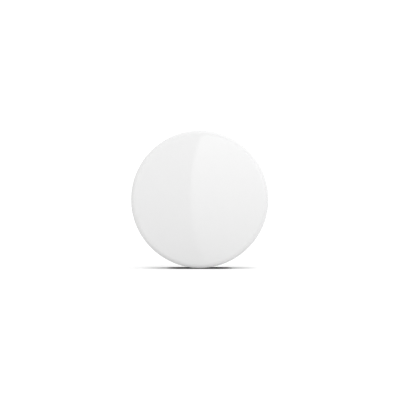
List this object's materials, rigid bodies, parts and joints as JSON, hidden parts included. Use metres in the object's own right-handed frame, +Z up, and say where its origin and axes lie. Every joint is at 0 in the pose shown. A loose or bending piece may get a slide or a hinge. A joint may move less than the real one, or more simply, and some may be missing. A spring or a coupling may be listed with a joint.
{
  "type": "streaming media player",
  "caption": "Upright disc-shaped streaming media player with a glossy domed front, a satin rear with recessed sockets and vents, and a small rubber foot.",
  "frame": {"origin": "on the surface it stands on, under the middle of the disc", "axes": "+Z up, -Y out of the glossy front, +X to the right as seen from the front"},
  "size_m": [0.1, 0.026, 0.1004],
  "materials": {
    "front_gloss": "high-gloss white polycarbonate blend",
    "rear_satin": "fine-textured satin white plastic",
    "foot_rubber": "dark grey silicone rubber",
    "dark_screen": "black woven dust screen",
    "board": "green solder mask",
    "spreader_metal": "rolled sheet",
    "thermal_pad": "soft filled silicone",
    "tin": "tinned sheet",
    "chip": "black moulded package",
    "inductor": "moulded ferrite",
    "capacitor": "bare can",
    "gold": "gold flash",
    "socket_steel": "nickel plated",
    "socket_plastic": "black glass-filled nylon",
    "clear_lens": "clear acrylic",
    "switch_body": "black plastic with a tin cover",
    "switch_plunger": "white nylon",
    "lamp": "white resin",
    "foam": "closed-cell black foam",
    "sensor_resin": "dark infrared resin",
    "ballast_steel": "zinc plated mild steel",
    "screw_steel": "zinc plated",
    "cable_jacket": "black fluoropolymer jacket"
  },
  "bodies": {
    "case": {"antenna_cable_left": "cable_jacket", "antenna_cable_right": "cable_jacket", "antenna_left": "gold", "antenna_right": "gold", "ballast_screws": "screw_steel", "ballast_weight": "ballast_steel", "bay_tray": "rear_satin", "board_capacitors": "capacitor", "board_screws": "screw_steel", "case_screws": "screw_steel", "clock_crystal": "tin", "ethernet_contacts": "gold", "ethernet_housing": "socket_plastic", "ethernet_lights": "clear_lens", "ethernet_shield": "socket_steel", "foot_pad": "foot_rubber", "front_cover": "front_gloss", "hdmi_contacts": "gold", "hdmi_core": "socket_plastic", "hdmi_shell": "socket_steel", "heat_spreader": "spreader_metal", "light_baffle": "foam", "light_guide": "clear_lens", "main_board": "board", "memory_chips": "chip", "network_transformer": "chip", "pairing_switch": "switch_body", "power_inductors": "inductor", "processor": "chip", "processor_pad": "thermal_pad", "processor_shield": "tin", "radio_chip": "chip", "radio_plugs": "gold", "radio_shield": "tin", "rear_cover": "rear_satin", "remote_sensor": "sensor_resin", "reset_switch": "switch_body", "spreader_pad": "thermal_pad", "status_light": "lamp", "storage_chip": "chip", "supply_chips": "chip", "usb_a_contacts": "gold", "usb_a_core": "socket_plastic", "usb_a_shell": "socket_steel", "usb_c_contacts": "gold", "usb_c_core": "socket_plastic", "usb_c_shell": "socket_steel", "vent_screen": "dark_screen"},
    "pairing_button": {"pairing_button": "rear_satin"},
    "pairing_plunger": {"pairing_plunger": "switch_plunger"},
    "reset_plunger": {"reset_plunger": "switch_plunger"}
  },
  "joints": [
    {"name": "pairing_press", "type": "slide", "parent": "case", "child": "pairing_button", "axis": [0, -1, 0], "range_m": [0, 0.00035], "stiffness_N_per_m": 1500, "springref_m": -0.0008},
    {"name": "pairing_plunger_press", "type": "slide", "parent": "case", "child": "pairing_plunger", "axis": [0, -1, 0], "range_m": [0, 0.00035]},
    {"name": "reset_press", "type": "slide", "parent": "case", "child": "reset_plunger", "axis": [0, -1, 0], "range_m": [0, 0.00025], "stiffness_N_per_m": 1500, "springref_m": -0.0008}
  ],
  "couplings": [
    {"joint": "pairing_plunger_press", "follows": "pairing_press", "ratio": 1}
  ]
}
